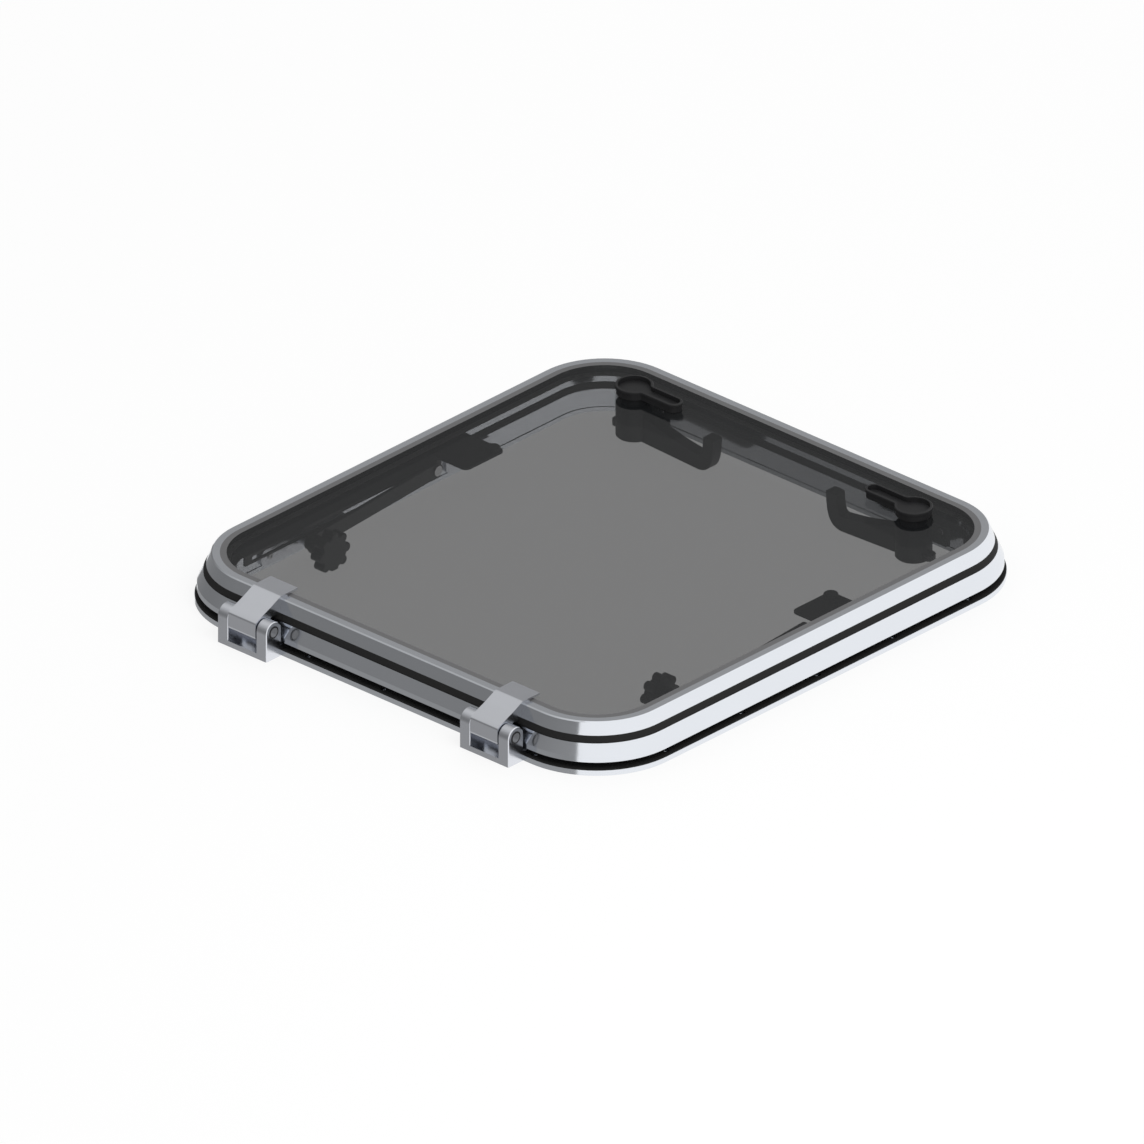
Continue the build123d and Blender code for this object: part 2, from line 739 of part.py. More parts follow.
stay_track -= Pos(0, 0.5 * (slide_open_y + slide_closed_y), pin_height) * slot_cut
track_screws = []
track_screw_x = path_half_x - ledge_width + 0.5 * track_seat_width
for share in track_screw_shares:
    place_y = track_start_y + share * (track_end_y - track_start_y)
    place = (track_screw_x, place_y, flange_low)
    track_screws.append(
        screw(place, (0, 0, 1), screw_radius, track_screw_length, small_head_radius, screw_head_height)
    )
    drill_top = flange_low + track_screw_length + fit_gap
    drill = rod(screw_radius + fit_gap, place, (track_screw_x, place_y, drill_top))
    stay_track -= drill
    lid_frame -= drill
    lid_frame -= mirror(drill, about=Plane.YZ)

# Stop at the end of the track, with its button.
stop_width = track_flange_out - stop_inboard
stop_start = track_end_y + seat_gap
track_stop = Box(stop_width, stop_length, stop_thickness, align=(Align.MIN, Align.MIN, Align.MAX))
track_stop = Pos(stop_inboard, stop_start, lid_bottom_z) * track_stop
track_stop = fillet(track_stop.edges().filter_by(Axis.Z).sort_by(Axis.X)[:2], stop_corner)
button_x = stop_inboard + button_inset
button_y = stop_start + stop_length - button_inset
button_top = lid_bottom_z + button_height
stop_button = rod(button_radius, (button_x, button_y, lid_bottom_z), (button_x, button_y, button_top))
stop_button = fillet(stop_button.edges().sort_by(Axis.Z)[-1], button_edge_round)
stop_screws = []
for share in stop_screw_shares:
    place_y = stop_start + share * stop_length
    place = (track_screw_x, place_y, lid_bottom_z - stop_thickness)
    stop_screws.append(
        screw(place, (0, 0, 1), screw_radius, track_screw_length, small_head_radius, screw_head_height)
    )
    drill_top = lid_bottom_z - stop_thickness + track_screw_length + fit_gap
    drill = rod(screw_radius + fit_gap, place, (track_screw_x, place_y, drill_top))
    track_stop -= drill
    lid_frame -= drill
    lid_frame -= mirror(drill, about=Plane.YZ)

# Small plate on each side wall of the lower frame.
side_plate = Box(
    side_plate_skin,
    side_plate_length,
    side_plate_height,
    align=(Align.MAX, Align.CENTER, Align.CENTER),
)
side_plate = Pos(throat_x, side_plate_y, side_plate_z) * side_plate
side_plate = fillet(side_plate.edges().filter_by(Axis.X), side_plate_corner)
plate_seat = (throat_x - side_plate_skin, side_plate_y, side_plate_z)
side_plate_screw = screw(
    plate_seat, (1, 0, 0), screw_radius, plate_screw_length, screw_head_radius, screw_head_height
)
drill = rod(screw_radius + fit_gap, plate_seat, (throat_x + 2 * wall_thickness, side_plate_y, side_plate_z))
side_plate -= drill
lower_frame -= drill
lower_frame -= mirror(drill, about=Plane.YZ)

save("lower_frame", lower_frame)
save("frame_cover", frame_cover)
save("lid_frame", lid_frame)
save("glazing", glazing)
save("glazing_sealant", glazing_sealant)
save("glazing_tape", glazing_tape)
save("lid_seal", lid_seal)
save_pair("hinge_base", hinge_base)
save_pair("hinge_pin", hinge_pin)
save_pair("hinge_bushes", *bushes)
save_both("hinge_base_screws", *tongue_screws)
save_pair("hinge_leaf", hinge_leaf)
save_both("hinge_leaf_screws", *leaf_screws)
save_pair("latch_keeper", keeper)
save_both("keeper_screws", *keeper_screws)
save_pair("stay_bracket", stay_bracket)
save_both("stay_bracket_screws", *bracket_screws)
save_pair("stay_stud", stay_stud)
save_pair("stay_arm", stay_arm)
save_pair("slide_pin", slide_pin)
save_pair("arm_washer", arm_washer)
save_pair("stay_knob", stay_knob)
save_pair("stay_track", stay_track)
save_pair("track_stop", track_stop)
save_pair("stop_button", stop_button)
save_pair("side_plate", side_plate)
save_pair("outer_handle", handle_place * outer_handle)
save_pair("handle_spindle", handle_place * handle_spindle)
save_pair("handle_bush", handle_place * handle_bush)
save_pair("inner_handle", handle_place * inner_handle)
save_pair("latch_cam", handle_place * latch_cam)
save_pair("handle_cap", handle_place * handle_cap)
save_both("track_screws", *track_screws, *stop_screws)
save_both("side_plate_screws", side_plate_screw)
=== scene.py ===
"""Looks of a glazed deck hatch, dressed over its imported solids."""

import logging
import math
from dataclasses import dataclass
from enum import Enum

import bmesh
import bpy
from mathutils import Matrix, Vector
from mathutils.geometry import interpolate_bezier


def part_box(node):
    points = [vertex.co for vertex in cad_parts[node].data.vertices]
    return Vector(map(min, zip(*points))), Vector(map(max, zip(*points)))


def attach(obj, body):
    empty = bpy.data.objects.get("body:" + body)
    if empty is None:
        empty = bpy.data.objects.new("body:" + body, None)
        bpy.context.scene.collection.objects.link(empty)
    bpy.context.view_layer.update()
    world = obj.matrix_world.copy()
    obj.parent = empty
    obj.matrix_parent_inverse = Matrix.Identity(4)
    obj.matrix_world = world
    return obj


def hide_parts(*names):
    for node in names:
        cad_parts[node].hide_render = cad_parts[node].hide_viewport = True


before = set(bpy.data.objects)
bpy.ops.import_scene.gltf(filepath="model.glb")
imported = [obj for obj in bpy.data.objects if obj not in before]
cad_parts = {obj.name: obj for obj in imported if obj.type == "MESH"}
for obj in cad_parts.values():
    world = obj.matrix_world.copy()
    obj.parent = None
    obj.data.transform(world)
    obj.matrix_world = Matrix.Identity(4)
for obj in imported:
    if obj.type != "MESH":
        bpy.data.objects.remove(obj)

LOG = logging.getLogger("deck_hatch")
MM = 0.001
MERGE_DISTANCE = 0.01 * MM

Colour = tuple[float, float, float]


class Side(Enum):
    """The two mirrored halves of the hatch."""

    LEFT = "left"
    RIGHT = "right"

    @property
    def sign(self) -> int:
        """Sign of X on this side."""
        return -1 if self is Side.LEFT else 1

    def node(self, name: str) -> str:
        """Name of this side's node."""
        return f"{name}_{self.value}"


class Effect(Enum):
    """Surface effects shared by several finishes, each a node group."""

    MOULDED_GRAIN = "moulded_grain"
    DRAWN_LINES = "drawn_lines"


class NodeSheet:
    """Short calls for adding and linking nodes in one tree."""

    def __init__(self, tree: bpy.types.NodeTree) -> None:
        """Take the tree that the calls work on.

        Args:
            tree: A material, world or group node tree.
        """
        self.tree = tree

    def add(self, kind: str, **values: object) -> bpy.types.Node:
        """Add a node and set its properties or inputs.

        Args:
            kind: The node's type name.
            values: Properties of the node, or inputs written with spaces as underscores.

        Returns:
            The new node.
        """
        node = self.tree.nodes.new(kind)
        for key, value in values.items():
            if hasattr(node, key):
                setattr(node, key, value)
            else:
                node.inputs[key.replace("_", " ")].default_value = value
        return node

    def link(self, source: bpy.types.NodeSocket, target: bpy.types.NodeSocket) -> None:
        """Link an output to an input."""
        self.tree.links.new(source, target)

    def math(self, operation: str, first: object, second: object = 0.0) -> bpy.types.NodeSocket:
        """Combine two values.

        Args:
            operation: The math node's operation.
            first: A socket or a number.
            second: A socket or a number.

        Returns:
            The result's socket.
        """
        node = self.add("ShaderNodeMath", operation=operation)
        for index, value in enumerate((first, second)):
            if isinstance(value, bpy.types.NodeSocket):
                self.link(value, node.inputs[index])
            else:
                node.inputs[index].default_value = value
        return node.outputs[0]


class EffectLibrary:
    """Builds each shared effect once and places it where it is asked for."""

    line_stretch: tuple[float, float, float] = (0.004, 0.004, 1.0)

    def __init__(self) -> None:
        """Build the groups."""
        self.groups = {
            Effect.MOULDED_GRAIN: self._moulded_grain(),
            Effect.DRAWN_LINES: self._drawn_lines(),
        }

    @staticmethod
    def _new_group(
        effect: Effect, inputs: dict[str, float]
    ) -> tuple[NodeSheet, bpy.types.Node, bpy.types.Node]:
        """Start a group whose outputs are a shade, a roughness and a height.

        Args:
            effect: The effect that names the group.
            inputs: Input names with their default values.

        Returns:
            The group's sheet, its input node and its output node.
        """
        tree = bpy.data.node_groups.new(effect.value, "ShaderNodeTree")
        for name, value in inputs.items():
            socket = tree.interface.new_socket(name=name, in_out="INPUT", socket_type="NodeSocketFloat")
            socket.default_value = value
        for name in ("Shade", "Roughness", "Height"):
            tree.interface.new_socket(name=name, in_out="OUTPUT", socket_type="NodeSocketFloat")
        sheet = NodeSheet(tree)
        return sheet, sheet.add("NodeGroupInput"), sheet.add("NodeGroupOutput")

    @staticmethod
    def _vary(
        sheet: NodeSheet, given: bpy.types.Node, result: bpy.types.Node, slow: bpy.types.Node
    ) -> None:
        """Let a slow noise move the roughness and the shade.

        Args:
            sheet: The group's sheet.
            given: The group's input node.
            result: The group's output node.
            slow: The slow noise.
        """
        swing = sheet.math("SUBTRACT", slow.outputs["Fac"], 0.5)
        spread = sheet.math("MULTIPLY", swing, given.outputs["Roughness Spread"])
        sheet.link(sheet.math("ADD", given.outputs["Roughness"], spread), result.inputs["Roughness"])
        tone = sheet.math("MULTIPLY", swing, given.outputs["Shade Spread"])
        sheet.link(sheet.math("ADD", tone, 1.0), result.inputs["Shade"])

    def _moulded_grain(self) -> bpy.types.NodeTree:
        """Fine pebbled grain of a moulded part, with slow patches of wear.

        Returns:
            The group.
        """
        defaults = {"Grain Scale": 900.0, "Roughness": 0.5, "Roughness Spread": 0.1, "Shade Spread": 0.2}
        sheet, given, result = self._new_group(Effect.MOULDED_GRAIN, defaults)
        coords = sheet.add("ShaderNodeTexCoord")
        grain = sheet.add("ShaderNodeTexNoise", Detail=3.0, Roughness=0.6)
        sheet.link(coords.outputs["Object"], grain.inputs["Vector"])
        sheet.link(given.outputs["Grain Scale"], grain.inputs["Scale"])
        patches = sheet.add("ShaderNodeTexNoise", Scale=38.0, Detail=4.0)
        sheet.link(coords.outputs["Object"], patches.inputs["Vector"])
        self._vary(sheet, given, result, patches)
        sheet.link(grain.outputs["Fac"], result.inputs["Height"])
        return sheet.tree

    def _drawn_lines(self) -> bpy.types.NodeTree:
        """Faint level lines that an extrusion die leaves, with slow cloudiness.

        Returns:
            The group.
        """
        defaults = {"Line Scale": 2600.0, "Roughness": 0.12, "Roughness Spread": 0.05, "Shade Spread": 0.06}
        sheet, given, result = self._new_group(Effect.DRAWN_LINES, defaults)
        coords = sheet.add("ShaderNodeTexCoord")
        stretch = sheet.add("ShaderNodeMapping")
        stretch.inputs["Scale"].default_value = self.line_stretch
        sheet.link(coords.outputs["Object"], stretch.inputs["Vector"])
        lines = sheet.add("ShaderNodeTexNoise", Detail=2.0)
        sheet.link(stretch.outputs["Vector"], lines.inputs["Vector"])
        sheet.link(given.outputs["Line Scale"], lines.inputs["Scale"])
        clouds = sheet.add("ShaderNodeTexNoise", Scale=14.0, Detail=5.0)
        sheet.link(coords.outputs["Object"], clouds.inputs["Vector"])
        self._vary(sheet, given, result, clouds)
        sheet.link(lines.outputs["Fac"], result.inputs["Height"])
        return sheet.tree

    def place(self, sheet: NodeSheet, effect: Effect, values: dict[str, float]) -> bpy.types.Node:
        """Put an effect into a material.

        Args:
            sheet: The material's sheet.
            effect: The effect.
            values: The effect's inputs.

        Returns:
            The group node.
        """
        node = sheet.add("ShaderNodeGroup")
        node.node_tree = self.groups[effect]
        for name, value in values.items():
            node.inputs[name].default_value = value
        return node


@dataclass(frozen=True)
class SurfaceFinish:
    """An opaque finish: a colour moved a little by an effect, with its grain as bump."""

    name: str
    colour: Colour
    roughness: float
    effect: Effect = Effect.MOULDED_GRAIN
    metallic: float = 0.0
    scale: float = 900.0
    roughness_spread: float = 0.1
    shade_spread: float = 0.2
    bump: float = 0.15
    bump_depth: float = 0.00004
    specular: float = 0.5

    def build(self, effects: EffectLibrary) -> bpy.types.Material:
        """Make the material.

        Args:
            effects: The shared effects.

        Returns:
            The material.
        """
        material = bpy.data.materials.new(self.name)
        material.use_nodes = True
        sheet = NodeSheet(material.node_tree)
        shader = sheet.tree.nodes["Principled BSDF"]
        shader.inputs["Metallic"].default_value = self.metallic
        shader.inputs["Specular IOR Level"].default_value = self.specular
        scale_name = "Line Scale" if self.effect is Effect.DRAWN_LINES else "Grain Scale"
        group = effects.place(
            sheet,
            self.effect,
            {
                scale_name: self.scale,
                "Roughness": self.roughness,
                "Roughness Spread": self.roughness_spread,
                "Shade Spread": self.shade_spread,
            },
        )
        tint = sheet.add("ShaderNodeMix", data_type="RGBA", blend_type="MULTIPLY")
        tint.inputs["Factor"].default_value = 1.0
        tint.inputs["A"].default_value = (*self.colour, 1.0)
        sheet.link(group.outputs["Shade"], tint.inputs["B"])
        sheet.link(tint.outputs["Result"], shader.inputs["Base Color"])
        sheet.link(group.outputs["Roughness"], shader.inputs["Roughness"])
        bump = sheet.add("ShaderNodeBump", Strength=self.bump, Distance=self.bump_depth)
        sheet.link(group.outputs["Height"], bump.inputs["Height"])
        sheet.link(bump.outputs["Normal"], shader.inputs["Normal"])
        return material


@dataclass(frozen=True)
class PaneFinish:
    """Smoke-tinted pane: each face lets part of the light straight through."""

    name: str = "smoke_pane"
    colour: Colour = (0.012, 0.013, 0.014)
    face_transmission: float = 0.44
    roughness: float = 0.015
    dust: float = 0.03
    dust_scale: float = 60.0
    specular: float = 0.7

    def build(self, effects: EffectLibrary) -> bpy.types.Material:
        """Make the material.

        Args:
            effects: The shared effects.

        Returns:
            The material.
        """
        material = bpy.data.materials.new(self.name)
        material.use_nodes = True
        material.surface_render_method = "BLENDED"
        sheet = NodeSheet(material.node_tree)
        shader = sheet.tree.nodes["Principled BSDF"]
        shader.inputs["Base Color"].default_value = (*self.colour, 1.0)
        shader.inputs["Alpha"].default_value = 1.0 - self.face_transmission
        shader.inputs["Specular IOR Level"].default_value = self.specular
        group = effects.place(
            sheet,
            Effect.MOULDED_GRAIN,
            {
                "Grain Scale": self.dust_scale,
                "Roughness": self.roughness,
                "Roughness Spread": self.dust,
                "Shade Spread": 0.0,
            },
        )
        sheet.link(group.outputs["Roughness"], shader.inputs["Roughness"])
        return material


Finish = SurfaceFinish | PaneFinish


class FinishRack:
    """Makes each finish once and hangs it on nodes and pieces."""

    def __init__(self, effects: EffectLibrary) -> None:
        """Start with no material made.

        Args:
            effects: The shared effects.
        """
        self.effects = effects
        self.made: dict[str, bpy.types.Material] = {}

    def material(self, finish: Finish) -> bpy.types.Material:
        """Return the finish's material, made on first use.

        Args:
            finish: The finish.

        Returns:
            The material.
        """
        if finish.name not in self.made:
            self.made[finish.name] = finish.build(self.effects)
        return self.made[finish.name]

    def dress(self, node: str, finish: Finish) -> None:
        """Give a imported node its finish.

        Args:
            node: The node's name.
            finish: The finish.
        """
        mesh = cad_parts[node].data
        material = self.material(finish)
        if not mesh.materials:
            mesh.materials.append(material)
        for index in range(len(mesh.materials)):
            mesh.materials[index] = material
        LOG.info("dressed %s in %s", node, finish.name)

    def coat(self, piece: bpy.types.Object, finish: Finish) -> None:
        """Give a new piece its one finish.

        Args:
            piece: The piece.
            finish: The finish.
        """
        piece.data.materials.clear()
        piece.data.materials.append(self.material(finish))
        LOG.info("built %s in %s", piece.name, finish.name)


BRIGHT_METAL = SurfaceFinish(
    name="bright_anodised",
    colour=(0.85, 0.88, 0.93),
    roughness=0.13,
    effect=Effect.DRAWN_LINES,
    metallic=1.0,
    scale=2600.0,
    roughness_spread=0.05,
    shade_spread=0.05,
    bump=0.05,
    bump_depth=0.00002,
)
SATIN_METAL = SurfaceFinish(
    name="satin_anodised",
    colour=(0.80, 0.82, 0.87),
    roughness=0.22,
    effect=Effect.DRAWN_LINES,
    metallic=1.0,
    scale=3200.0,
    bump=0.08,
    bump_depth=0.00002,
)
BLACK_METAL = SurfaceFinish(
    name="black_anodised",
    colour=(0.03, 0.03, 0.032),
    roughness=0.35,
    effect=Effect.DRAWN_LINES,
    scale=3200.0,
    bump=0.08,
    bump_depth=0.00002,
)
STEEL = SurfaceFinish(
    name="turned_steel",
    colour=(0.62, 0.62, 0.63),
    roughness=0.25,
    metallic=1.0,
    scale=1400.0,
    bump=0.04,
)
POLISHED_PIN = SurfaceFinish(
    name="polished_pin",
    colour=(0.72, 0.72, 0.73),
    roughness=0.12,
    metallic=1.0,
    scale=1400.0,
    bump=0.02,
)
BLACK_PLASTIC = SurfaceFinish(
    name="black_moulded_plastic",
    colour=(0.016, 0.016, 0.017),
    roughness=0.5,
    scale=1100.0,
    bump=0.25,
    specular=0.35,
)
KNOB_PLASTIC = SurfaceFinish(
    name="black_knob_plastic",
    colour=(0.02, 0.02, 0.021),
    roughness=0.42,
    scale=1400.0,
    bump=0.12,
)
SEAL_RUBBER = SurfaceFinish(
    name="black_seal_rubber",
    colour=(0.012, 0.012, 0.012),
    roughness=0.7,
    scale=700.0,
    bump=0.3,
    specular=0.25,
)
SEALANT = SurfaceFinish(
    name="glazing_sealant_grey",
    colour=(0.125, 0.125, 0.128),
    roughness=0.6,
    scale=260.0,
    bump=0.12,
    bump_depth=0.0001,
    shade_spread=0.08,
    specular=0.25,
)
BEDDING_TAPE = SurfaceFinish(
    name="bedding_tape_grey",
    colour=(0.12, 0.12, 0.12),
    roughness=0.8,
    scale=500.0,
)
SMOKE_PANE = PaneFinish()


@dataclass(frozen=True)
class Metalwork:
    """Lower frame, its cover and the lid frame, with the screws that hold small parts."""

    bright: tuple[str, ...] = ("lower_frame", "frame_cover", "lid_frame")
    screws: tuple[str, ...] = (
        "hinge_base_screws",
        "hinge_leaf_screws",
        "keeper_screws",
        "stay_bracket_screws",
        "track_screws",
        "side_plate_screws",
    )

    def dress(self, rack: FinishRack) -> None:
        """Give the extrusions and the screws their metals.

        Args:
            rack: The finishes.
        """
        for node in self.bright:
            rack.dress(node, BRIGHT_METAL)
        for node in self.screws:
            rack.dress(node, STEEL)


@dataclass(frozen=True)
class Glazing:
    """Pane with the sealant, tape and seal around it."""

    finishes: tuple[tuple[str, Finish], ...] = (
        ("glazing", SMOKE_PANE),
        ("glazing_sealant", SEALANT),
        ("glazing_tape", BEDDING_TAPE),
        ("lid_seal", SEAL_RUBBER),
    )

    def dress(self, rack: FinishRack) -> None:
        """Give the pane and its seals their finishes.

        Args:
            rack: The finishes.
        """
        for node, finish in self.finishes:
            rack.dress(node, finish)


def combine(piece: bpy.types.Object, tool: bpy.types.Object, operation: str) -> None:
    """Apply an exact boolean to a piece and delete the tool.

    Args:
        piece: The object that is changed.
        tool: The object that is added or cut away.
        operation: The boolean's operation.
    """
    step = piece.modifiers.new("combine", "BOOLEAN")
    step.operation = operation
    step.solver = "EXACT"
    step.object = tool
    bpy.context.view_layer.update()
    graph = bpy.context.evaluated_depsgraph_get()
    piece.data = bpy.data.meshes.new_from_object(piece.evaluated_get(graph))
    piece.modifiers.clear()
    bpy.data.objects.remove(tool)


def piece_from(name: str, sheet: bmesh.types.BMesh) -> bpy.types.Object:
    """Turn a finished bmesh into an object in the scene.

    Args:
        name: The object's name.
        sheet: The bmesh, which is freed.

    Returns:
        The object.
    """
    bmesh.ops.recalc_face_normals(sheet, faces=sheet.faces)
    mesh = bpy.data.meshes.new(name)
    sheet.to_mesh(mesh)
    sheet.free()
    piece = bpy.data.objects.new(name, mesh)
    bpy.context.scene.collection.objects.link(piece)
    return piece


@dataclass(frozen=True)
class FrameOutline:
    """Rounded rectangle that the hatch's sections follow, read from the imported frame."""

    flange_offset: float = 23.0 * MM
    path_corner: float = 63.5 * MM
    corner_steps: int = 20

    def half_sizes(self) -> tuple[float, float]:
        """Half width and half depth of the rectangle.

        Returns:
            Both half sizes in metres.
        """
        low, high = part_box("lower_frame")
        half_x, half_y = (high[0] - low[0]) / 2, (high[1] - low[1]) / 2
        return half_x - self.flange_offset, half_y - self.flange_offset

    def sweep(self, name: str, section: tuple[tuple[float, float], ...]) -> bpy.types.Object:
        """Carry a closed section round the rectangle.

        Args:
            name: The new object's name.
            section: Offsets from the path and heights, in metres.

        Returns:
            The object.
        """
        half_x, half_y = self.half_sizes()
        run_x, run_y = half_x - self.path_corner, half_y - self.path_corner
        sheet = bmesh.new()
        places = [Vector((half_x + offset, -run_y, height)) for offset, height in section]
        points = [sheet.verts.new(place) for place in places]
        edges = [sheet.edges.new((points[index - 1], points[index])) for index in range(len(points))]
        corners = ((1, 1), (-1, 1), (-1, -1), (1, -1))
        runs = ((0, 2 * run_y), (-2 * run_x, 0), (0, -2 * run_y), (2 * run_x, 0))
        for (side_x, side_y), (shift_x, shift_y) in zip(corners, runs):
            grown = bmesh.ops.extrude_edge_only(sheet, edges=edges)["geom"]
            moved = [item for item in grown if isinstance(item, bmesh.types.BMVert)]
            edges = [item for item in grown if isinstance(item, bmesh.types.BMEdge)]
            bmesh.ops.translate(sheet, vec=Vector((shift_x, shift_y, 0.0)), verts=moved)
            turned = bmesh.ops.spin(
                sheet,
                geom=edges,
                cent=Vector((side_x * run_x, side_y * run_y, 0.0)),
                axis=Vector((0.0, 0.0, 1.0)),
                angle=math.pi / 2,
                steps=self.corner_steps,
            )["geom_last"]
            edges = [item for item in turned if isinstance(item, bmesh.types.BMEdge)]
        bmesh.ops.remove_doubles(sheet, verts=sheet.verts, dist=MERGE_DISTANCE)
        return piece_from(name, sheet)


@dataclass(frozen=True)
class SealLipAndGapShadow:
    """Flared lip of the lid's seal, which laps over the top of the cover. Its black rubber is partly the
    real seal and partly painted shadow in the gap between the lid and the cover.
    """

    outline: FrameOutline = FrameOutline()
    root: float = 12.22 * MM
    reach: float = 15.0 * MM
    low: float = 29.05 * MM
    edge: float = 30.0 * MM
    high: float = 34.9 * MM
    top_width: float = 0.3 * MM

    def dress(self, rack: FinishRack) -> None:
        """Build the lip on the lid, as black seal rubber that also paints the shadow in the gap.

        Args:
            rack: The finishes.
        """
        section = (
            (self.root, self.low),
            (self.reach, self.low),
            (self.reach, self.edge),
            (self.root + self.top_width, self.high),
            (self.root, self.high),
        )
        # The lip fills the dark gap between the lid wall and the cover: partly the real seal, partly
        # painted shadow.
        lip = self.outline.sweep("seal_lip_and_gap_shadow", section)
        rack.coat(lip, SEAL_RUBBER)
        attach(lip, "lid")


@dataclass(frozen=True)
class GrooveStrip:
    """Black strip on the flange under the cover, open over each deck screw hole."""

    outline: FrameOutline = FrameOutline()
    inner: float = 9.4 * MM
    outer: float = 22.6 * MM
    low: float = 5.15 * MM
    high: float = 6.0 * MM
    hole_offset: float = 15.5 * MM
    hole_radius: float = 3.0 * MM
    hole_depth: float = 6.0 * MM
    hole_segments: int = 24
    pitch_x: float = 93.0 * MM
    pitch_y: float = 100.0 * MM
    per_side: int = 5
    hinge_gap: float = 0.3 * MM

    def hole_places(self) -> list[Vector]:
        """Centres of the deck screw holes.

        Returns:
            Points on the flange.
        """
        half_x, half_y = self.outline.half_sizes()
        places = []
        for index in range(self.per_side):
            step = index - (self.per_side - 1) / 2
            for sign in (1, -1):
                places.append(Vector((sign * (half_x + self.hole_offset), step * self.pitch_y, self.low)))
                places.append(Vector((step * self.pitch_x, sign * (half_y + self.hole_offset), self.low)))
        return places

    def _cutter(self) -> bpy.types.Object:
        """Rods at the deck screw holes and blocks at the hinge bases.

        Returns:
            The object that is cut away.
        """
        sheet = bmesh.new()
        gap = Vector((self.hinge_gap, self.hinge_gap, self.hinge_gap))
        for place in self.hole_places():
            bmesh.ops.create_cone(
                sheet,
                cap_ends=True,
                segments=self.hole_segments,
                radius1=self.hole_radius,
                radius2=self.hole_radius,
                depth=self.hole_depth,
                matrix=Matrix.Translation(place),
            )
        for side in Side:
            low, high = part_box(side.node("hinge_base"))
            low, high = Vector(low) - gap, Vector(high) + gap
            block = Matrix.Translation((low + high) / 2) @ Matrix.Diagonal((*(high - low), 1.0))
            bmesh.ops.create_cube(sheet, size=1.0, matrix=block)
        return piece_from("strip_cutter", sheet)

    def dress(self, rack: FinishRack) -> None:
        """Build the strip on the lower frame.

        Args:
            rack: The finishes.
        """
        section = (
            (self.inner, self.low),
            (self.outer, self.low),
            (self.outer, self.high),
            (self.inner, self.high),
        )
        strip = self.outline.sweep("groove_strip", section)
        combine(strip, self._cutter(), "DIFFERENCE")
        rack.coat(strip, SEAL_RUBBER)
        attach(strip, "frame")


@dataclass(frozen=True)
class Hinge:
    """One hinge: base, leaf, pin and bushes."""

    side: Side

    def dress(self, rack: FinishRack) -> None:
        """Give the hinge its metals and its bushes their plastic.

        Args:
            rack: The finishes.
        """
        for name in ("hinge_base", "hinge_leaf"):
            rack.dress(self.side.node(name), SATIN_METAL)
        rack.dress(self.side.node("hinge_bushes"), BLACK_PLASTIC)
        rack.dress(self.side.node("hinge_pin"), POLISHED_PIN)


